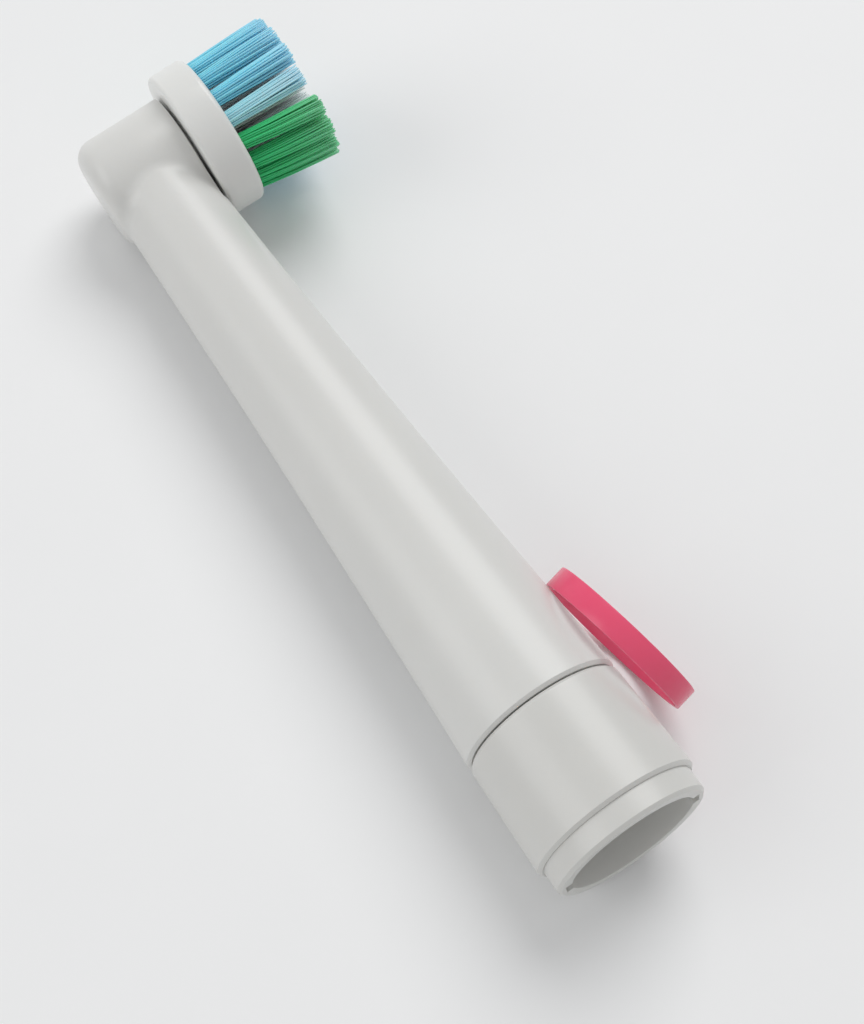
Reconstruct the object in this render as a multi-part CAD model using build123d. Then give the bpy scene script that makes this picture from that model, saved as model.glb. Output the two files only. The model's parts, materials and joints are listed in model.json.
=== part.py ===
from build123d import *
import os
from math import acos, atan, atan2, cos, degrees, hypot, radians, sin, sqrt, tan

# Round oscillating toothbrush head, lying on its side, in millimetres.
# The pieces are drawn in the neck's own frame: X runs from the open base to the head, Z is the way the
# bristles point, and the origin is the centre of the base's mouth. REST then lays the whole head down.

# Base sleeve
BASE_R = 6.7            # outside of the base
SEAT_STEP = 0.4         # the colour ring's seat is stepped down by this
SEAT_LENGTH = 1.9
SEAM_X = 11.0           # seam between base sleeve and neck
SEAM_GAP = 0.15         # the seam stays open by this
SEAM_TAPER = 0.25       # the base narrows by this towards the seam
COLLAR_R = 5.2          # socket for the handle's collar
COLLAR_DEPTH = 9.0
KEYWAY_WIDTH = 1.6
KEYWAY_DEPTH = 0.5
KEYWAY_LENGTH = 7.0
PLUG_R = 5.0            # spigot that the neck is pushed onto
PLUG_LENGTH = 4.0
PLUG_WALL = 0.9
BEARING_WALL = 0.75
EDGE_BREAK = 0.25       # small chamfer on moulded rims

# Neck and head housing
WAIST_X = 36.0          # the neck narrows in one long sweep through this point
WAIST_R = 5.25
NECK_END_R = 4.1
NECK_STEPS = 5          # straight tapers that the sweep is drawn with
HEAD_X = 70.2           # axis of the bristle disc
BORE_R = 4.5            # neck bore above the spigot
BORE_END_R = 3.3        # neck bore where the crank turns
BORE_END_X = 61.0
HOUSING_R = 5.0
HOUSING_FRONT = 4.0     # from the neck's axis towards the bristles
HOUSING_BACK = 4.5      # from the neck's axis away from the bristles
HOUSING_WALL = 1.4
HOUSING_BACK_ROUND = 1.8
NECK_BLEND = 2.0        # hollow round where the neck runs into the housing

# Bristle disc
DISC_R = 6.7
DISC_THICKNESS = 3.35
DISC_GAP = 0.3          # between the disc and the housing
DISC_BACK_ROUND = 0.4
DISC_FRONT_ROUND = 0.5
HUB_R = 3.2
HUB_END = 2.0           # end of the hub behind the neck's axis
AXLE_R = 0.8
AXLE_END_WALL = 0.3     # disc left over the end of the axle

# Tufts
OUTER_ROW_R = 5.3
OUTER_ROW_COUNT = 16
SECOND_ROW_R = 3.25
SECOND_ROW_COUNT = 10
CENTRE_ROW_R = 1.35
CENTRE_ROW_COUNT = 4
TUFT_R = 0.78
TUFT_SIDES_COUNT = 12   # tufts and their holes are drawn with this many flats
TUFT_DEPTH = 2.2
GREEN_LENGTH = 7.5      # free length above the disc
GREEN_LEAN = 1.0        # tips of the green tufts over the neck lean back by this
BLUE_LENGTH = 7.6
WHITE_LENGTH = 7.4
TIP_ANGLE = 25.0        # green tufts at the far end lie within this angle of the neck's line
NECK_ANGLE = 46.0       # green tufts over the neck lie within this angle of the neck's line
PALE_ANGLE = 68.0       # outer white tufts lie between that angle and this one
ANCHOR_HEIGHT = 1.2
ANCHOR_THICKNESS = 0.25

# Drive
SHAFT_R = 1.8           # socket for the handle's shaft
SHAFT_DEPTH = 7.0
TIP_R = 1.5             # flatted socket for the shaft's tip
TIP_FLAT = 1.1          # from the axis to the flat
TIP_DEPTH = 4.0
SLEEVE_R = 2.6
SLEEVE_LENGTH = 16.0
SLEEVE_FLANGE_R = 3.3
SLEEVE_FLANGE = 1.0
CLIP_WALL = 0.35
CLIP_WIDTH = 2.0
CLIP_GAP_ANGLE = 50.0
ROD_R = 0.9
CRANK_THROW = 2.2       # ball's centre from the neck's axis
BALL_R = 0.75
BALL_TO_AXLE = 2.3      # ball's centre from the disc's axis, along the neck
CRANK_STEM_R = 0.45
CRANK_WEB = 1.2
CRANK_SWING_ANGLE = 35.0  # the disc's slot leaves room for this
GUIDE_X = 50.0
GUIDE_LENGTH = 5.0
GUIDE_HUB_R = 1.9
GUIDE_WEB = 2.0
RETAINER_R = 0.5
RETAINER_Z = -0.9
RETAINER_ENGAGE = 0.7   # how far its end reaches into the hub's groove

# Colour ring, taken off and leaning on the neck
RING_TURN = 11.0        # its plane against the neck's line, seen from above
RING_LEAN = 21.0        # from upright, towards the neck
RING_X = 13.4           # middle of the ring along the neck

# Clearances
RUNNING_FIT = 0.06
PUSH_FIT = 0.02
HOLE_FIT = 0.05
END_PLAY = 0.2
BALL_PLAY = 0.12
RIM_CLEARANCE = 0.4

# Derived sizes
SEAT_R = BASE_R - SEAT_STEP
SEAM_R = BASE_R - SEAM_TAPER
PLUG_END = SEAM_X + PLUG_LENGTH
BEARING_R = SLEEVE_R + RUNNING_FIT
SLEEVE_START = COLLAR_DEPTH + END_PLAY
SLEEVE_END = SLEEVE_START + SLEEVE_LENGTH
SHAFT_END = SLEEVE_START + SHAFT_DEPTH
TIP_END = SHAFT_END + TIP_DEPTH
CLIP_X = PLUG_END + END_PLAY + SLEEVE_FLANGE + END_PLAY
DISC_BACK = HOUSING_FRONT + DISC_GAP
DISC_FRONT = DISC_BACK + DISC_THICKNESS
TUFT_FLOOR = DISC_FRONT - TUFT_DEPTH
HOLE_R = TUFT_R + HOLE_FIT
CAVITY_R = HOUSING_R - HOUSING_WALL
CAVITY_FLOOR = HOUSING_WALL - HOUSING_BACK
NECK_START = SEAM_X + SEAM_GAP
BALL_X = HEAD_X - BALL_TO_AXLE
WEB_END_X = BALL_X - BALL_R - END_PLAY - CRANK_WEB
RING_R = BASE_R
RING_HEIGHT = SEAT_LENGTH - END_PLAY / 2
ROWS = (
    (OUTER_ROW_R, OUTER_ROW_COUNT),
    (SECOND_ROW_R, SECOND_ROW_COUNT),
    (CENTRE_ROW_R, CENTRE_ROW_COUNT),
)
TUFT_LENGTHS = {"green": GREEN_LENGTH, "blue": BLUE_LENGTH, "white": WHITE_LENGTH}


def turned(*corners):
    """Solid of revolution about the neck's axis from (x, radius) corners."""
    return revolve(make_face(Polyline(*corners, close=True)), axis=Axis.X)


def shaft(radius, x_from, x_to, y=0, z=0):
    """Round bar along the neck."""
    bar = Cylinder(radius, x_to - x_from, align=(Align.CENTER, Align.CENTER, Align.MIN))
    return Pos(x_from, y, z) * Rot(0, 90, 0) * bar


def post(radius, z_from, z_to, x=HEAD_X, y=0):
    """Round bar along the bristles, on the disc's axis unless placed elsewhere."""
    bar = Cylinder(radius, z_to - z_from, align=(Align.CENTER, Align.CENTER, Align.MIN))
    return Pos(x, y, z_from) * bar


def neck_radius(x):
    """Outside radius of the neck: a smooth sweep from the seam through the waist to the head."""
    start = NECK_START + EDGE_BREAK
    first_slope = (WAIST_R - SEAM_R) / (WAIST_X - start)
    second_slope = (NECK_END_R - WAIST_R) / (HEAD_X - WAIST_X)
    bend = (second_slope - first_slope) / (HEAD_X - start)
    return SEAM_R + (x - start) * (first_slope + bend * (x - WAIST_X))


def bore_radius(x):
    """Radius of the tapered neck bore at a place along the neck."""
    share = (x - PLUG_END) / (BORE_END_X - PLUG_END)
    return BORE_R + (BORE_END_R - BORE_R) * share


def base_sleeve():
    """Lower sleeve: ring seat, handle socket, sleeve bearing and the spigot for the neck."""
    bearing_out = BEARING_R + BEARING_WALL
    body = turned(
        (0, COLLAR_R),
        (0, SEAT_R - EDGE_BREAK),
        (EDGE_BREAK, SEAT_R),
        (SEAT_LENGTH, SEAT_R),
        (SEAT_LENGTH, BASE_R - EDGE_BREAK),
        (SEAT_LENGTH + EDGE_BREAK, BASE_R),
        (SEAM_X - EDGE_BREAK, SEAM_R),
        (SEAM_X, SEAM_R - EDGE_BREAK),
        (SEAM_X, PLUG_R),
        (PLUG_END - EDGE_BREAK, PLUG_R),
        (PLUG_END, PLUG_R - EDGE_BREAK),
        (PLUG_END, PLUG_R - PLUG_WALL),
        (SEAM_X, PLUG_R - PLUG_WALL),
        (SEAM_X, bearing_out),
        (PLUG_END, bearing_out),
        (PLUG_END, BEARING_R),
        (COLLAR_DEPTH, BEARING_R),
        (COLLAR_DEPTH, COLLAR_R),
    )
    key_span = 2 * (COLLAR_R + KEYWAY_DEPTH)
    keyway = Box(KEYWAY_LENGTH, KEYWAY_WIDTH, key_span, align=(Align.MIN, Align.CENTER, Align.CENTER))
    return body - (keyway - shaft(COLLAR_R - KEYWAY_DEPTH, 0, KEYWAY_LENGTH))


def neck_shell():
    """Tapered neck and the round head housing, moulded as one hollow shell."""
    start = NECK_START + EDGE_BREAK
    stations = [start + (HEAD_X - start) * step / NECK_STEPS for step in range(NECK_STEPS + 1)]
    sweep = [(x, neck_radius(x)) for x in stations]
    neck = turned((NECK_START, 0), (NECK_START, SEAM_R - EDGE_BREAK), *sweep, (HEAD_X, 0))
    housing = post(HOUSING_R, -HOUSING_BACK, HOUSING_FRONT)
    housing = fillet(housing.edges().group_by(Axis.Z)[0], HOUSING_BACK_ROUND)
    shell = neck + housing - post(DISC_R + RIM_CLEARANCE, HOUSING_FRONT, HOUSING_FRONT + DISC_R)
    meeting_line = [
        edge
        for edge in shell.edges().filter_by(GeomType.BSPLINE)
        if HEAD_X - HOUSING_R < edge.center().X < HEAD_X and edge.center().Z < HOUSING_FRONT - PUSH_FIT
    ]
    shell = fillet(meeting_line, NECK_BLEND)
    bore = turned(
        (NECK_START, 0),
        (NECK_START, PLUG_R + PUSH_FIT),
        (PLUG_END + END_PLAY, PLUG_R + PUSH_FIT),
        (PLUG_END + END_PLAY, bore_radius(PLUG_END + END_PLAY)),
        (BORE_END_X, BORE_END_R),
        (HEAD_X, BORE_END_R),
        (HEAD_X, 0),
    )
    cavity = post(CAVITY_R, CAVITY_FLOOR, HOUSING_FRONT)
    axle_hole = post(AXLE_R + PUSH_FIT, CAVITY_FLOOR - HOUSING_WALL / 2, 0)
    retainer_hole = shaft(RETAINER_R + PUSH_FIT, HEAD_X, HEAD_X + HOUSING_R, z=RETAINER_Z)
    return shell - bore - cavity - axle_hole - retainer_hole


def rod_guide():
    """Plastic bush on a notched web that carries the rod near the head."""
    web_start = GUIDE_X + (GUIDE_LENGTH - GUIDE_WEB) / 2
    web_end = web_start + GUIDE_WEB
    guide = turned(
        (GUIDE_X, ROD_R + RUNNING_FIT),
        (GUIDE_X, GUIDE_HUB_R),
        (web_start, GUIDE_HUB_R),
        (web_start, bore_radius(web_start) - PUSH_FIT),
        (web_end, bore_radius(web_end) - PUSH_FIT),
        (web_end, GUIDE_HUB_R),
        (GUIDE_X + GUIDE_LENGTH, GUIDE_HUB_R),
        (GUIDE_X + GUIDE_LENGTH, ROD_R + RUNNING_FIT),
    )
    notch_r = (bore_radius(web_start) - GUIDE_HUB_R) / 2
    for turn in range(3):
        notch = shaft(notch_r, web_start, web_end, z=GUIDE_HUB_R + 1.5 * notch_r)
        guide -= Rot(120 * turn, 0, 0) * notch
    return guide


def drive_sleeve():
    """Plastic sleeve with the flatted shaft socket, its thrust flange and the clip groove."""
    flange_start = PLUG_END + END_PLAY
    flange_end = flange_start + SLEEVE_FLANGE
    groove_r = SLEEVE_R - CLIP_WALL
    body = turned(
        (SLEEVE_START, 0),
        (SLEEVE_START, SLEEVE_R - EDGE_BREAK),
        (SLEEVE_START + EDGE_BREAK, SLEEVE_R),
        (flange_start, SLEEVE_R),
        (flange_start, SLEEVE_FLANGE_R),
        (flange_end, SLEEVE_FLANGE_R),
        (flange_end, SLEEVE_R),
        (CLIP_X, SLEEVE_R),
        (CLIP_X, groove_r),
        (CLIP_X + CLIP_WIDTH, groove_r),
        (CLIP_X + CLIP_WIDTH, SLEEVE_R),
        (SLEEVE_END - EDGE_BREAK, SLEEVE_R),
        (SLEEVE_END, SLEEVE_R - EDGE_BREAK),
        (SLEEVE_END, 0),
    )
    flat = Box(TIP_DEPTH, 2 * TIP_R, TIP_R, align=(Align.MIN, Align.CENTER, Align.MIN))
    tip_socket = shaft(TIP_R, SHAFT_END, TIP_END) - Pos(SHAFT_END, 0, TIP_FLAT) * flat
    rod_hole = shaft(ROD_R + PUSH_FIT, TIP_END, SLEEVE_END)
    return body - shaft(SHAFT_R, SLEEVE_START, SHAFT_END) - tip_socket - rod_hole


def shaft_clip():
    """Open steel ring in the sleeve's groove."""
    clip_start = CLIP_X + PUSH_FIT
    clip_end = CLIP_X + CLIP_WIDTH - PUSH_FIT
    inner = SLEEVE_R - CLIP_WALL + PUSH_FIT
    face = make_face(
        Polyline((clip_start, inner), (clip_start, SLEEVE_R), (clip_end, SLEEVE_R), (clip_end, inner), close=True)
    )
    return Rot(CLIP_GAP_ANGLE / 2, 0, 0) * revolve(face, axis=Axis.X, revolution_arc=360 - CLIP_GAP_ANGLE)


def drive_rod():
    """Steel rod with a crank web, a thin stem and a ball end in the disc's slot."""
    rod = shaft(ROD_R, TIP_END + END_PLAY, WEB_END_X)
    outline = Rot(0, 0, 90) * SlotCenterToCenter(CRANK_THROW, 2 * ROD_R)
    web = extrude(Plane.YZ * Pos(0, CRANK_THROW / 2) * outline, CRANK_WEB)
    rod += Pos(WEB_END_X, 0, 0) * web
    rod += shaft(CRANK_STEM_R, WEB_END_X, BALL_X, z=CRANK_THROW)
    return rod + Pos(BALL_X, 0, CRANK_THROW) * Sphere(BALL_R)


def row_places(radius, count):
    """Angle and centre of each tuft in a row, the first half a step from the neck's line."""
    angles = [(number + 0.5) * 360 / count for number in range(count)]
    return [(a, HEAD_X + radius * cos(radians(a)), radius * sin(radians(a))) for a in angles]


def bundle(radius, z_from, z_to, x, y, lean_back=0.0):
    """Many-sided bar for a tuft or its hole; its far end is moved back towards the base by lean_back."""
    section = Pos(x, y, z_from) * RegularPolygon(radius, TUFT_SIDES_COUNT)
    rise = z_to - z_from
    return extrude(section, hypot(rise, lean_back), dir=(-lean_back, 0, rise))


def brush_disc():
    """Bristle carrier: rounded disc with tuft holes, and a hub with axle bore, slot and groove."""
    disc = post(DISC_R, DISC_BACK, DISC_FRONT)
    disc = fillet(disc.edges().group_by(Axis.Z)[0], DISC_BACK_ROUND)
    disc = fillet(disc.edges().group_by(Axis.Z)[-1], DISC_FRONT_ROUND)
    disc += post(HUB_R, -HUB_END, DISC_BACK)
    disc -= post(AXLE_R + RUNNING_FIT, -HUB_END, DISC_BACK + AXLE_END_WALL)
    slot_half = BALL_R + BALL_PLAY
    slot_low = CRANK_THROW * cos(radians(CRANK_SWING_ANGLE)) - BALL_R - END_PLAY
    slot_high = CRANK_THROW + BALL_R + END_PLAY
    slot_floor = BALL_TO_AXLE - BALL_R - BALL_PLAY
    slot = Box(HUB_R, 2 * slot_half, slot_high - slot_low, align=(Align.MAX, Align.CENTER, Align.MIN))
    disc -= Pos(HEAD_X - slot_floor, 0, slot_low) * slot
    groove_half = RETAINER_R + BALL_PLAY
    groove_floor = HUB_R - RETAINER_ENGAGE - BALL_PLAY
    groove = post(HUB_R + END_PLAY, RETAINER_Z - groove_half, RETAINER_Z + groove_half)
    disc -= groove - post(groove_floor, RETAINER_Z - groove_half, RETAINER_Z + groove_half)
    for row in ROWS:
        disc -= [bundle(HOLE_R, TUFT_FLOOR, DISC_FRONT, x, y) for _, x, y in row_places(*row)]
    return disc


def anchor(angle, x, y, grow=0.0):
    """Small metal anchor across one tuft hole; grow makes the slot that it sits in."""
    width = 2 * TUFT_R + 2 * grow
    height = ANCHOR_HEIGHT + 2 * grow
    block = Box(ANCHOR_THICKNESS + grow, width, height, align=(Align.CENTER, Align.CENTER, Align.MIN))
    return Pos(x, y, TUFT_FLOOR + PUSH_FIT - grow) * Rot(0, 0, angle) * block


def tuft(angle, x, y, length, lean_back=0.0):
    """Closed outline of one bristle tuft, slotted at its foot for the anchor."""
    foot = bundle(TUFT_R, TUFT_FLOOR, DISC_FRONT, x, y) - anchor(angle, x, y, 2 * PUSH_FIT)
    return foot + bundle(TUFT_R, DISC_FRONT, DISC_FRONT + length, x, y, lean_back)


def tuft_colour(outer, from_tip):
    """Green at both ends, blue along the sides of the outer row, white between them and inside."""
    if from_tip < TIP_ANGLE or (outer and from_tip > 180 - NECK_ANGLE):
        return "green"
    if outer and from_tip < 180 - PALE_ANGLE:
        return "blue"
    return "white"


def tufts():
    """Every tuft with its node name; the green ones over the neck lean back."""
    named = {}
    counts = dict.fromkeys(TUFT_LENGTHS, 0)
    for number, row in enumerate(ROWS):
        for place in row_places(*row):
            from_tip = min(place[0], 360 - place[0])
            colour = tuft_colour(number == 0, from_tip)
            counts[colour] += 1
            lean_back = GREEN_LEAN if colour == "green" and from_tip > 90 else 0.0
            piece = tuft(*place, TUFT_LENGTHS[colour], lean_back)
            named[f"{colour}_tuft_{counts[colour]}"] = piece
    return named


def tuft_anchors():
    """All anchors as one group."""
    return Part() + [anchor(*place) for row in ROWS for place in row_places(*row)]


# Resting pose: the disc's back edge and the housing's rounded back edge touch the floor together
edge_y = (DISC_R - DISC_BACK_ROUND) - (HOUSING_R - HOUSING_BACK_ROUND)
edge_z = DISC_BACK + DISC_BACK_ROUND + HOUSING_BACK - HOUSING_BACK_ROUND
lean = acos((HOUSING_BACK_ROUND - DISC_BACK_ROUND) / hypot(edge_y, edge_z)) - atan2(edge_z, edge_y)
head_height = (DISC_R - DISC_BACK_ROUND) * cos(lean) - (DISC_BACK + DISC_BACK_ROUND) * sin(lean) + DISC_BACK_ROUND
base_foot_x = SEAT_LENGTH + EDGE_BREAK
pitch = atan((BASE_R - head_height) / (HEAD_X - base_foot_x))
FLOOR_Z = -(base_foot_x * sin(pitch) + BASE_R * cos(pitch))
REST = Rot(0, degrees(pitch), 0) * Rot(90 - degrees(lean), 0, 0)


def neck_side(x, z):
    """How far the lying neck reaches sideways at a place and height on the resting head."""
    above_axis = z + x * tan(pitch)
    return sqrt(max(neck_radius(x) ** 2 - above_axis**2, 0))


def colour_ring():
    """Thin clip-on ring, stood on its edge on the floor and leaning on the neck."""
    half = RING_HEIGHT / 2
    ring = Cylinder(RING_R, RING_HEIGHT) - Cylinder(SEAT_R + RUNNING_FIT, RING_HEIGHT)
    stand = Rot(0, 0, RING_TURN) * Rot(90 - RING_LEAN, 0, 0)
    height = FLOOR_Z + RING_R * cos(radians(RING_LEAN)) + half * sin(radians(RING_LEAN))
    turns = [radians(step) for step in range(360)]
    rim = [(stand * Pos(RING_R * cos(turn), RING_R * sin(turn), -half)).position for turn in turns]
    stand_off = max(point.Y + neck_side(RING_X + point.X, height + point.Z) for point in rim)
    return Pos(RING_X, -stand_off - RUNNING_FIT, height) * stand * ring


pieces = {
    "base_sleeve": base_sleeve(),
    "neck_shell": neck_shell(),
    "rod_guide": rod_guide(),
    "axle_pin": post(AXLE_R, CAVITY_FLOOR - HOUSING_WALL / 2, DISC_BACK),
    "retaining_pin": shaft(
        RETAINER_R, HEAD_X + HUB_R - RETAINER_ENGAGE, HEAD_X + HOUSING_R - PUSH_FIT, z=RETAINER_Z
    ),
    "drive_sleeve": drive_sleeve(),
    "shaft_clip": shaft_clip(),
    "drive_rod": drive_rod(),
    "brush_disc": brush_disc(),
    "tuft_anchors": tuft_anchors(),
}
pieces.update(tufts())

os.makedirs("parts", exist_ok=True)
for name, piece in pieces.items():
    export_step(REST * piece, f"parts/{name}.step")
export_step(colour_ring(), "parts/colour_ring.step")
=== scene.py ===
import json
import math
import random

import bmesh
import bpy
from bpy.props import FloatProperty, FloatVectorProperty, IntProperty, PointerProperty
from mathutils import Matrix, Vector


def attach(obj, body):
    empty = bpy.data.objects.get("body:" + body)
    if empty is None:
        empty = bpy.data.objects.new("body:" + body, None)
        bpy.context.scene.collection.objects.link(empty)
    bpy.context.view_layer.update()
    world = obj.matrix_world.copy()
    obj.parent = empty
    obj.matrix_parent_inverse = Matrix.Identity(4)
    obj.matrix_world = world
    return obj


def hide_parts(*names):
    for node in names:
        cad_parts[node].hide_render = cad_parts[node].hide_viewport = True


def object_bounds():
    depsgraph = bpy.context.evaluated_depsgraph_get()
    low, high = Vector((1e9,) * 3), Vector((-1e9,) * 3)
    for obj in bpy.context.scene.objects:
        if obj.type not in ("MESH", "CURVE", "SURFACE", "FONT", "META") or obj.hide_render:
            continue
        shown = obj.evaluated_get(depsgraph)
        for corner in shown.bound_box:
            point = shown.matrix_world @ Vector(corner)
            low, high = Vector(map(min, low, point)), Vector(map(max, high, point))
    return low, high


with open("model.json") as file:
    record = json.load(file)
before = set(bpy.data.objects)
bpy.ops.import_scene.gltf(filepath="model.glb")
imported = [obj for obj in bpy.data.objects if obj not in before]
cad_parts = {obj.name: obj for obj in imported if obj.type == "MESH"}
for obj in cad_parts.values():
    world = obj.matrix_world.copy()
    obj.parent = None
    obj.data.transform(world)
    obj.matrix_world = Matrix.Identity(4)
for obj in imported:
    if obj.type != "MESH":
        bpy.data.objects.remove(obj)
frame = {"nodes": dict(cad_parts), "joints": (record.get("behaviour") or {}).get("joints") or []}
cad_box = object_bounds()

bl_info = {
    "name": "Round Toothbrush Head",
    "version": (1, 0, 0),
    "blender": (4, 5, 0),
    "location": "View3D > Sidebar > Brush Head",
    "description": "Dresses a round toothbrush head: moulded shells, filament tufts and a small studio",
    "category": "Object",
}

MM = 0.001

# The neck's own frame, from the two joints: X along the neck, Z the way the bristles point
JOINTS = {joint["name"]: joint for joint in frame["joints"]}
NECK_WAY = Vector(JOINTS["drive_turn"]["axis"]).normalized()
BRISTLE_WAY = Vector(JOINTS["brush_turn"]["axis"]).normalized()
SIDE_WAY = BRISTLE_WAY.cross(NECK_WAY)
FROM_NECK = Matrix((NECK_WAY, SIDE_WAY, BRISTLE_WAY)).transposed()
TO_NECK = FROM_NECK.transposed()
DISC_CENTRE = TO_NECK @ Vector(JOINTS["brush_turn"]["pos_m"])

# Pieces by colour and material
TUFT_COLOURS = ("green", "blue", "white")
STEEL_NODES = ("drive_rod", "shaft_clip", "axle_pin", "retaining_pin", "tuft_anchors")
INNER_NODES = ("drive_sleeve", "rod_guide")

# Copies of the moulded pieces
WELD = 0.001 * MM                  # corners nearer than this become one
SLIVER = 0.0005 * MM               # shorter edges are taken out after the rounding
ROUND_STEPS = 2                    # faces across a rounded edge
CORNER_ANGLE = math.radians(60)    # outer edges sharper than this are rounded
CREASE_ANGLE = math.radians(24)    # edges flatter than this are shaded smooth

# Tufts
OUTER_ROW_FROM = 4.3 * MM          # tufts farther than this from the disc's axis stand along its rim
END_SLICE = 0.05 * MM              # corners this near to a tuft's ends belong to its end faces
GOLDEN_ANGLE = math.pi * (3 - math.sqrt(5))
FREE_STATIONS = (0.0, 0.4, 0.75, 1.0)    # where a filament has a ring, as shares of its free length
SPLAY_POWER = 0.8                  # below 1, a filament bends outwards most near the disc
FILAMENT_SIDES = 6
TIP_WIDTH = 0.7                    # last ring, in filament radii
CROWN_HEIGHT = 0.6                 # rounded end above the last ring, in filament radii

# Moulded plastic, with its patterns in waves per metre
FLOW_SCALE = 90.0
GRAIN_SCALE = 2600.0
PEEL_SCALE = 1100.0
PEEL_DEPTH = 0.004 * MM
NOISE_MIDDLE = 0.5                 # mean of a noise from 0 to 1
FLOW_SHARE = 0.8                   # of the clouding; the rest is grain
FLOW_POLISH = 0.12                 # how far the flow marks move the roughness
GRAIN_POLISH = 0.05                # how far the grain moves it

# Drawn steel
LINE_SCALES = (300.0, 9000.0, 9000.0)    # waves per metre along the neck and across it
LINE_DEPTH = 0.002 * MM
STEEL_SHADES = (0.8, 1.1)          # darkest and brightest line, times the steel's colour
STEEL_ROUGHNESS = (0.22, 0.42)

# Nylon
FILAMENT_SHADES = (0.82, 1.2)      # darkest and lightest filament, times the tuft's colour
FILAMENT_ROUGHNESS = (0.30, 0.42)
# Painted light: tips are made lighter and whiter, so each filament reads shaded deeper in the tuft
PAINTED_TIP_LIGHT = 1.05
PAINTED_TIP_WHITE = 0.22                # share of white in the painted light on a tip
PAINTED_TIP_FADE = 3.0                     # the higher, the nearer to the tip the painted light begins

# Floor
FLOOR_HALF = 3.0                   # half its width, in metres
FLOOR_FADE = (0.09, 0.26)          # it runs into the backdrop between these distances, in metres
FLOOR_SCALE = 60.0                 # waves per metre of its faint mottle
FLOOR_SHADES = (0.985, 1.015)

CAMERA_CLIP = 5 * MM               # nearest distance that the camera sees


class BrushSizes(bpy.types.PropertyGroup):
    """Sizes of the filaments and of the rounds on sharp edges."""

    filaments: IntProperty(
        name="Filaments", description="Filaments in one tuft",
        default=64, min=7, max=120,
    )
    filament_radius: FloatProperty(
        name="Filament Radius", description="Radius of one filament",
        default=0.088 * MM, unit="LENGTH", precision=6,
    )
    spread: FloatProperty(
        name="Spread", description="How much wider a tuft is at its tip than at its root",
        default=1.36, subtype="FACTOR",
    )
    unevenness: FloatProperty(
        name="Unevenness", description="How far tips differ in height",
        default=0.16 * MM, unit="LENGTH", precision=6,
    )
    wander: FloatProperty(
        name="Wander", description="How far a tip strays sideways",
        default=0.06 * MM, unit="LENGTH", precision=6,
    )
    edge_round: FloatProperty(
        name="Edge Round", description="Round on the sharp edges of moulded pieces",
        default=0.06 * MM, unit="LENGTH", precision=6,
    )


class BrushColours(bpy.types.PropertyGroup):
    """Colours of the moulded pieces, the steel and the bristles."""

    shell: FloatVectorProperty(
        name="Shell", description="White of the neck",
        default=(0.72, 0.72, 0.70), subtype="COLOR",
    )
    # Painted shade: a darker copy of the shell's white, so the base sleeve reads darker than the neck
    base: FloatVectorProperty(
        name="Base", description="White of the base sleeve",
        default=(0.675, 0.673, 0.65), subtype="COLOR",
    )
    disc: FloatVectorProperty(
        name="Disc", description="White of the bristle disc",
        default=(0.80, 0.805, 0.785), subtype="COLOR",
    )
    inner: FloatVectorProperty(
        name="Inner Pieces", description="Uncoloured plastic inside",
        default=(0.70, 0.69, 0.64), subtype="COLOR",
    )
    ring: FloatVectorProperty(
        name="Ring", description="Pink of the loose ring",
        default=(0.84, 0.08, 0.18), subtype="COLOR",
    )
    steel: FloatVectorProperty(
        name="Steel", description="Pins, rod, clip and anchors",
        default=(0.60, 0.61, 0.63), subtype="COLOR",
    )
    green: FloatVectorProperty(
        name="Green Bristles", description="Tufts at the ends",
        default=(0.035, 0.58, 0.20), subtype="COLOR",
    )
    blue: FloatVectorProperty(
        name="Blue Bristles", description="Tufts at the sides",
        default=(0.25, 0.72, 1.0), subtype="COLOR",
    )
    pale: FloatVectorProperty(
        name="Pale Bristles", description="Outer tufts between blue and green",
        default=(0.42, 0.79, 0.96), subtype="COLOR",
    )
    white: FloatVectorProperty(
        name="White Bristles", description="Tufts inside",
        default=(0.88, 0.95, 0.98), subtype="COLOR",
    )


class StudioSettings(bpy.types.PropertyGroup):
    """Camera, lamps, floor and backdrop."""

    camera_place: FloatVectorProperty(
        name="Camera", description="Where the camera stands",
        default=(-0.02231, 0.04015, 0.12057), subtype="XYZ", unit="LENGTH",
    )
    camera_aim: FloatVectorProperty(
        name="Aim", description="Point in the middle of the view",
        default=(0.029549, -0.002411, 0.0), subtype="XYZ", unit="LENGTH",
    )
    camera_roll: FloatProperty(
        name="Roll", description="Turn of the camera about its line of sight",
        default=math.radians(7.1), subtype="ANGLE",
    )
    lens: FloatProperty(
        name="Lens", description="Focal length in millimetres",
        default=63.28, min=1.0, unit="CAMERA",
    )
    key_offset: FloatVectorProperty(
        name="Key Lamp Place", description="Large lamp, seen from the aim",
        default=(0.66, -0.75, 1.26), subtype="XYZ", unit="LENGTH",
    )
    key_size: FloatProperty(
        name="Key Lamp Size", description="Width of the large lamp",
        default=1.20, unit="LENGTH",
    )
    key_power: FloatProperty(
        name="Key Lamp", description="Power of the large lamp",
        default=11.7, unit="POWER",
    )
    fill_offset: FloatVectorProperty(
        name="Fill Lamp Place", description="Side lamp, seen from the aim",
        default=(0.45, 1.44, 0.90), subtype="XYZ", unit="LENGTH",
    )
    fill_size: FloatProperty(
        name="Fill Lamp Size", description="Width of the side lamp",
        default=1.35, unit="LENGTH",
    )
    fill_power: FloatProperty(
        name="Fill Lamp", description="Power of the side lamp",
        default=7.2, unit="POWER",
    )
    sky: FloatProperty(
        name="Sky", description="Strength of the even light",
        default=0.45, subtype="FACTOR",
    )
    floor: FloatVectorProperty(
        name="Floor", description="Colour of the floor",
        default=(0.90, 0.905, 0.91), subtype="COLOR",
    )
    backdrop: FloatVectorProperty(
        name="Backdrop", description="Colour far behind the object",
        default=(0.82, 0.83, 0.83), subtype="COLOR",
    )


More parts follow.
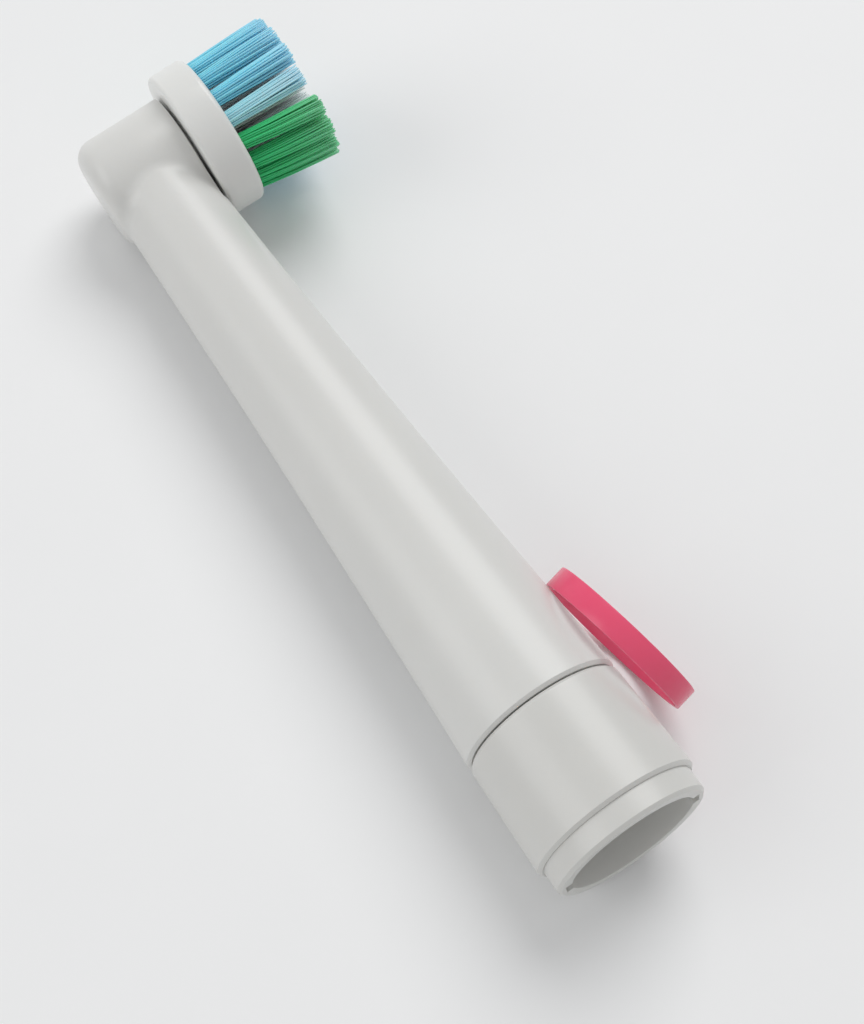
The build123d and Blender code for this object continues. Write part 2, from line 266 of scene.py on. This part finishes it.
class Wire:
    """A shader socket that takes part in Python arithmetic; each operator adds a Math node."""

    def __init__(self, shading, socket):
        self.shading = shading
        self.socket = socket

    def maths(self, operation, first, second):
        """Adds one Math node on two values."""
        return self.shading.node("ShaderNodeMath", {"operation": operation}, {0: first, 1: second})

    def __add__(self, other):
        return self.maths("ADD", self, other)

    __radd__ = __add__

    def __sub__(self, other):
        return self.maths("SUBTRACT", self, other)

    def __rsub__(self, other):
        return self.maths("SUBTRACT", other, self)

    def __mul__(self, other):
        return self.maths("MULTIPLY", self, other)

    __rmul__ = __mul__

    def __pow__(self, other):
        return self.maths("POWER", self, other)

    def __rpow__(self, other):
        return self.maths("POWER", other, self)


class Shading:
    """The shader nodes of a material or of the world while they are being put together."""

    def __init__(self, owner):
        owner.use_nodes = True
        self.tree = owner.node_tree

    def node(self, kind, settings=None, sockets=None, output=0):
        """Adds any node: its settings first, then the values or links of its sockets."""
        made = self.tree.nodes.new(kind)
        for key, value in (settings or {}).items():
            setattr(made, key, value)
        for key, value in (sockets or {}).items():
            if isinstance(value, Wire):
                self.tree.links.new(value.socket, made.inputs[key])
            else:
                made.inputs[key].default_value = value
        return Wire(self, made.outputs[output])

    def show(self, share, first, second):
        """Ends in a blend of two shaders."""
        blend = self.node("ShaderNodeMixShader", sockets={0: share, 1: first, 2: second})
        output = next(node for node in self.tree.nodes if node.type.startswith("OUTPUT"))
        self.tree.links.new(blend.socket, output.inputs["Surface"])

    def seen(self):
        """1 where a ray shows the backdrop itself: straight, mirrored or through something clear."""
        rays = ("Is Camera Ray", "Is Glossy Ray", "Is Transmission Ray")
        straight, mirrored, through = (self.node("ShaderNodeLightPath", output=ray) for ray in rays)
        return straight + mirrored + through


class Finish(Shading):
    """A material with one main shader, whose even values are set first."""

    def __init__(self, name, even_values):
        self.material = bpy.data.materials.new(name)
        super().__init__(self.material)
        self.shader = self.tree.nodes["Principled BSDF"]
        for socket, value in even_values.items():
            self.shader.inputs[socket].default_value = value

    def surface(self):
        """The main shader's output."""
        return Wire(self, self.shader.outputs["BSDF"])

    def place(self):
        """Coordinates on the piece, in metres."""
        return self.node("ShaderNodeTexCoord", output="Object")

    def noise(self, scale, detail):
        """Noise from 0 to 1, scale in waves per metre."""
        sockets = {"Vector": self.place(), "Scale": scale, "Detail": detail}
        return self.node("ShaderNodeTexNoise", sockets=sockets)

    def mix(self, share, first, second):
        """Colour between two colours."""
        first = first if isinstance(first, Wire) else (*first, 1)
        second = second if isinstance(second, Wire) else (*second, 1)
        settings = {"data_type": "RGBA", "clamp_factor": True}
        return self.node("ShaderNodeMix", settings, {0: share, 6: first, 7: second}, output=2)

    def feed(self, socket, wire):
        """Links a varying value to the main shader."""
        self.tree.links.new(wire.socket, self.shader.inputs[socket])

    def bump(self, height, distance):
        """Raises the surface by a height from 0 to 1 times a distance in metres."""
        self.feed("Normal", self.node("ShaderNodeBump", sockets={"Height": height, "Distance": distance}))


def between(share, limits):
    """Value that goes from the first limit to the second as a share goes from 0 to 1."""
    low, high = limits
    return low + share * (high - low)


def shade(colour, factor):
    """A colour made lighter or darker."""
    return tuple(min(1.0, channel * factor) for channel in colour)


def shades(colour, factors):
    """A darker and a lighter shade of a colour."""
    return [shade(colour, factor) for factor in factors]


def moulded_plastic(name, colour, roughness, haze=0.06, depth=0.12):
    """Satin moulded plastic: faint flow marks, fine orange peel and uneven polish."""
    even_values = {
        "Subsurface Weight": depth,
        "Subsurface Scale": 1.2 * MM,
        "Subsurface Radius": (1.0, 0.9, 0.8),
    }
    finish = Finish(name, even_values)
    flow = finish.noise(FLOW_SCALE, detail=4.0)
    grain = finish.noise(GRAIN_SCALE, detail=2.0)
    peel = finish.noise(PEEL_SCALE, detail=2.0)
    cloud = flow * FLOW_SHARE + grain * (1 - FLOW_SHARE)
    finish.feed("Base Color", finish.mix(cloud, *shades(colour, (1 - haze, 1 + haze / 2))))
    polish = FLOW_POLISH * (flow - NOISE_MIDDLE) + GRAIN_POLISH * (grain - NOISE_MIDDLE)
    finish.feed("Roughness", roughness + polish)
    finish.bump(peel, PEEL_DEPTH)
    return finish.material


def drawn_steel(name, colour):
    """Bright drawn steel with fine lines along the neck."""
    finish = Finish(name, {"Metallic": 1.0})
    stretched = finish.node("ShaderNodeMapping", sockets={"Vector": finish.place(), "Scale": LINE_SCALES})
    lines = finish.node("ShaderNodeTexNoise", sockets={"Vector": stretched, "Scale": 1.0, "Detail": 2.0})
    finish.feed("Base Color", finish.mix(lines, *shades(colour, STEEL_SHADES)))
    finish.feed("Roughness", between(lines, STEEL_ROUGHNESS))
    finish.bump(lines, LINE_DEPTH)
    return finish.material


def nylon(name, colour, white):
    """Nylon filaments that let some light in: each a little lighter or darker, with painted light that
    makes them paler towards the tip.
    """
    even_values = {
        "Specular IOR Level": 0.45,
        "Subsurface Weight": 0.12,
        "Subsurface Scale": 0.3 * MM,
        "Subsurface Radius": colour,
    }
    finish = Finish(name, even_values)
    own = finish.node("ShaderNodeNewGeometry", output="Random Per Island")
    along = finish.node("ShaderNodeAttribute", {"attribute_name": "along"}, output="Fac")
    body = finish.mix(own, *shades(colour, FILAMENT_SHADES))
    # Painted light: the tip colour is lighter and whiter than the body, so the roots read as shaded
    tip = Vector(shade(colour, PAINTED_TIP_LIGHT)).lerp(Vector(white), PAINTED_TIP_WHITE)
    finish.feed("Base Color", finish.mix(along ** PAINTED_TIP_FADE, body, tip))
    finish.feed("Roughness", between(own, FILAMENT_ROUGHNESS))
    return finish.material


def dress(node, material):
    """Gives a finish to a piece that keeps its solid's mesh."""
    slots = frame["nodes"][node].data.materials
    slots.clear()
    slots.append(material)


def add_piece(name, build, body, material, node):
    """Puts a finished mesh in the place of a solid and lets it move with its body."""
    mesh = bpy.data.meshes.new(name)
    build.to_mesh(mesh)
    build.free()
    mesh.materials.clear()
    mesh.materials.append(material)
    piece = bpy.data.objects.new(name, mesh)
    bpy.context.scene.collection.objects.link(piece)
    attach(piece, body)
    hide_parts(node)


def smooth_copy(node, body, material, edge_round):
    """Takes a solid's place with a copy: seams joined, sharp edges rounded, round faces shaded smooth."""
    build = bmesh.new()
    build.from_mesh(frame["nodes"][node].data)
    bmesh.ops.remove_doubles(build, verts=build.verts, dist=WELD)
    sharp = [edge for edge in build.edges if edge.calc_face_angle_signed(0.0) > CORNER_ANGLE]
    bmesh.ops.bevel(
        build, geom=sharp, affect="EDGES", offset=edge_round, offset_type="OFFSET",
        segments=ROUND_STEPS, profile=0.5, clamp_overlap=True,
    )
    bmesh.ops.dissolve_degenerate(build, edges=build.edges, dist=SLIVER)
    for edge in build.edges:
        edge.smooth = edge.calc_face_angle(0.0) < CREASE_ANGLE
    for face in build.faces:
        face.smooth = True
    add_piece(node + "_finish", build, body, material, node)


def neck_points(node):
    """A solid's corners in the neck's own frame."""
    return [TO_NECK @ vertex.co for vertex in frame["nodes"][node].data.vertices]


def middle(points):
    """Centre of the box around some points."""
    spans = [[point[axis] for point in points] for axis in range(3)]
    return Vector((min(span) + max(span)) / 2 for span in spans)


def tuft_ends(node):
    """Centres of a tuft's foot and tip and its radius, read from its solid."""
    points = neck_points(node)
    low = min(point.z for point in points)
    high = max(point.z for point in points)
    foot = middle([point for point in points if point.z < low + END_SLICE])
    tip_points = [point for point in points if point.z > high - END_SLICE]
    tip = middle(tip_points)
    radius = max((point - tip).length for point in tip_points)
    return foot, tip, radius


def in_outer_row(node):
    """Whether a tuft stands in the row along the disc's rim."""
    foot, _, _ = tuft_ends(node)
    return (foot - DISC_CENTRE).xy.length > OUTER_ROW_FROM


def add_filament(build, along, path, radius):
    """One round filament along a path of (share of the length, place), with a rounded end."""
    corners = [2 * math.pi * side / FILAMENT_SIDES for side in range(FILAMENT_SIDES)]
    widths = [radius] * (len(path) - 1) + [radius * TIP_WIDTH]
    rings = []
    for (share, centre), width in zip(path, widths):
        ring = []
        for angle in corners:
            offset = Vector((math.cos(angle), math.sin(angle), 0)) * width
            vertex = build.verts.new(FROM_NECK @ (centre + offset))
            vertex[along] = share
            ring.append(vertex)
        rings.append(ring)
    share, end = path[-1]
    crown = build.verts.new(FROM_NECK @ (end + Vector((0, 0, radius * CROWN_HEIGHT))))
    crown[along] = share
    for lower, upper in zip(rings, rings[1:]):
        for side in range(FILAMENT_SIDES):
            after = (side + 1) % FILAMENT_SIDES
            build.faces.new((lower[side], lower[after], upper[after], upper[side]))
    for side in range(FILAMENT_SIDES):
        build.faces.new((rings[-1][side], rings[-1][(side + 1) % FILAMENT_SIDES], crown))
    build.faces.new(reversed(rings[0]))


def build_tuft(node, sizes, disc_front, material, seed):
    """Bundle of filaments in the place of one tuft's solid."""
    draw = random.Random(seed)
    foot, tip, radius = tuft_ends(node)
    root = (disc_front - foot.z) / (tip.z - foot.z)
    reach = radius - sizes.filament_radius
    build = bmesh.new()
    along = build.verts.layers.float.new("along")
    for number in range(sizes.filaments):
        # A sunflower's pattern fills the round hole evenly
        angle = number * GOLDEN_ANGLE
        spoke = reach * math.sqrt((number + 0.5) / sizes.filaments)
        out = Vector((math.cos(angle), math.sin(angle), 0)) * spoke
        stray = Vector((draw.gauss(0, 1), draw.gauss(0, 1), 0)) * sizes.wander
        start = foot + out
        end = tip + out * sizes.spread + stray
        end.z += draw.uniform(-1, 0) * sizes.unevenness - sizes.filament_radius
        path = [(0.0, start)]
        for free in FREE_STATIONS:
            share = root + (1 - root) * free
            place = start.lerp(end, share)
            place.xy = start.xy.lerp(end.xy, free ** SPLAY_POWER)
            path.append((share, place))
        add_filament(build, along, path, sizes.filament_radius)
    for face in build.faces:
        face.smooth = True
    add_piece(node + "_filaments", build, "brush", material, node)


def lay_floor(studio):
    """Wide pale floor under the lowest point, which runs into the backdrop away from the object."""
    mesh = bpy.data.meshes.new("floor")
    build = bmesh.new()
    bmesh.ops.create_grid(build, x_segments=1, y_segments=1, size=FLOOR_HALF)
    build.to_mesh(mesh)
    build.free()
    finish = Finish("pale_floor", {"Roughness": 0.6})
    mottle = finish.noise(FLOOR_SCALE, detail=3.0)
    finish.feed("Base Color", finish.mix(mottle, *shades(studio.floor, FLOOR_SHADES)))
    away = finish.node("ShaderNodeVectorMath", {"operation": "LENGTH"}, {0: finish.place()}, output="Value")
    near, far = FLOOR_FADE
    fade = {"Value": away, "From Min": near, "From Max": far}
    gone = finish.node("ShaderNodeMapRange", {"interpolation_type": "SMOOTHSTEP"}, fade)
    glow = finish.node("ShaderNodeEmission", sockets={"Color": (*studio.backdrop, 1), "Strength": 1.0})
    finish.show(gone * finish.seen(), finish.surface(), glow)
    mesh.materials.append(finish.material)
    floor = bpy.data.objects.new("floor", mesh)
    floor.location = (studio.camera_aim[0], studio.camera_aim[1], cad_box[0][2])
    bpy.context.scene.collection.objects.link(floor)


def add_lamp(name, aim, offset, size, power):
    """Large soft lamp that points at the aim."""
    light = bpy.data.lights.new(name, "AREA")
    light.shape = "DISK"
    light.size = size
    light.energy = power
    lamp = bpy.data.objects.new(name, light)
    lamp.location = aim + offset
    lamp.rotation_euler = (-offset).to_track_quat("-Z", "Y").to_euler()
    bpy.context.scene.collection.objects.link(lamp)


def light_evenly(scene, studio):
    """Even light from all round, with the backdrop's colour where the sky itself is seen."""
    scene.world = bpy.data.worlds.new("even_light")
    sky = Shading(scene.world)
    even = sky.node("ShaderNodeBackground", sockets={"Color": (1, 1, 1, 1), "Strength": studio.sky})
    pale = sky.node("ShaderNodeBackground", sockets={"Color": (*studio.backdrop, 1), "Strength": 1.0})
    sky.show(sky.seen(), even, pale)


def set_camera(scene, studio):
    """Camera at the place, aim and roll of the view."""
    data = bpy.data.cameras.new("camera")
    data.lens = studio.lens
    data.clip_start = CAMERA_CLIP
    camera = bpy.data.objects.new("camera", data)
    place = Vector(studio.camera_place)
    look = (Vector(studio.camera_aim) - place).to_track_quat("-Z", "Y").to_matrix()
    turn = look @ Matrix.Rotation(studio.camera_roll, 3, "Z")
    camera.matrix_world = Matrix.Translation(place) @ turn.to_4x4()
    scene.collection.objects.link(camera)
    scene.camera = camera


class BRUSHHEAD_OT_shell(bpy.types.Operator):
    """Finishes the neck, the base sleeve and the bristle disc in white moulded plastic."""

    bl_idname = "brushhead.shell"
    bl_label = "Shell and Disc"

    def execute(self, context):
        colours = context.scene.brush_colours
        edge_round = context.scene.brush_sizes.edge_round
        shell = moulded_plastic("shell_white", colours.shell, roughness=0.32)
        smooth_copy("neck_shell", "housing", shell, edge_round)
        # Painted shade: the base sleeve gets a darker copy of the shell's white
        base = moulded_plastic("base_white", colours.base, roughness=0.32)
        smooth_copy("base_sleeve", "housing", base, edge_round)
        disc = moulded_plastic("disc_white", colours.disc, roughness=0.30)
        smooth_copy("brush_disc", "brush", disc, edge_round)
        return {"FINISHED"}


class BRUSHHEAD_OT_ring(bpy.types.Operator):
    """Finishes the loose colour ring in glossy pink plastic."""

    bl_idname = "brushhead.ring"
    bl_label = "Colour Ring"

    def execute(self, context):
        colours = context.scene.brush_colours
        edge_round = context.scene.brush_sizes.edge_round
        pink = moulded_plastic("ring_pink", colours.ring, roughness=0.24, haze=0.05, depth=0.25)
        smooth_copy("colour_ring", "housing", pink, edge_round)
        return {"FINISHED"}


class BRUSHHEAD_OT_drive(bpy.types.Operator):
    """Finishes the pins, the anchors and the pieces of the drive inside the neck."""

    bl_idname = "brushhead.drive"
    bl_label = "Drive"

    def execute(self, context):
        colours = context.scene.brush_colours
        steel = drawn_steel("drive_steel", colours.steel)
        for node in STEEL_NODES:
            dress(node, steel)
        inner = moulded_plastic("inner_plastic", colours.inner, roughness=0.45)
        for node in INNER_NODES:
            dress(node, inner)
        return {"FINISHED"}


class BRUSHHEAD_OT_tufts(bpy.types.Operator):
    """Builds every tuft as a bundle of nylon filaments."""

    bl_idname = "brushhead.tufts"
    bl_label = "Tufts"

    def execute(self, context):
        sizes = context.scene.brush_sizes
        colours = context.scene.brush_colours
        disc_front = max(point.z for point in neck_points("brush_disc"))
        pale = nylon("pale_nylon", colours.pale, colours.white)
        seed = 0
        for colour in TUFT_COLOURS:
            own = nylon(colour + "_nylon", getattr(colours, colour), colours.white)
            for node in sorted(name for name in frame["nodes"] if name.startswith(colour + "_tuft")):
                seed += 1
                material = pale if colour == "white" and in_outer_row(node) else own
                build_tuft(node, sizes, disc_front, material, seed)
        return {"FINISHED"}


class BRUSHHEAD_OT_stage(bpy.types.Operator):
    """Sets up the floor, the lamps, the even light and the camera."""

    bl_idname = "brushhead.stage"
    bl_label = "Stage"

    def execute(self, context):
        scene = context.scene
        studio = scene.brush_studio
        scene.view_settings.view_transform = "Standard"
        lay_floor(studio)
        aim = Vector(studio.camera_aim)
        add_lamp("key_lamp", aim, Vector(studio.key_offset), studio.key_size, studio.key_power)
        add_lamp("fill_lamp", aim, Vector(studio.fill_offset), studio.fill_size, studio.fill_power)
        light_evenly(scene, studio)
        set_camera(scene, studio)
        return {"FINISHED"}


class BRUSHHEAD_PT_panel(bpy.types.Panel):
    """Lists the operators, the sizes, the colours and the studio's settings."""

    bl_idname = "BRUSHHEAD_PT_panel"
    bl_label = "Brush Head"
    bl_space_type = "VIEW_3D"
    bl_region_type = "UI"
    bl_category = "Brush Head"

    def draw(self, context):
        for operator in OPERATORS:
            self.layout.operator(operator.bl_idname)
        for setting, group in GROUPS.items():
            for name in group.__annotations__:
                self.layout.prop(getattr(context.scene, setting), name)


GROUPS = {
    "brush_sizes": BrushSizes,
    "brush_colours": BrushColours,
    "brush_studio": StudioSettings,
}
OPERATORS = (
    BRUSHHEAD_OT_shell,
    BRUSHHEAD_OT_ring,
    BRUSHHEAD_OT_drive,
    BRUSHHEAD_OT_tufts,
    BRUSHHEAD_OT_stage,
)
CLASSES = (*GROUPS.values(), *OPERATORS, BRUSHHEAD_PT_panel)


def register():
    """Registers every class and hangs the settings on the scene."""
    for cls in CLASSES:
        bpy.utils.register_class(cls)
    for name, group in GROUPS.items():
        setattr(bpy.types.Scene, name, PointerProperty(type=group))


def unregister():
    """Takes everything out again."""
    for name in GROUPS:
        delattr(bpy.types.Scene, name)
    for cls in reversed(CLASSES):
        bpy.utils.unregister_class(cls)


def main():
    """Dresses the brush head."""
    register()
    bpy.ops.brushhead.shell()
    bpy.ops.brushhead.ring()
    bpy.ops.brushhead.drive()
    bpy.ops.brushhead.tufts()
    bpy.ops.brushhead.stage()


if __name__ == "__main__":
    main()
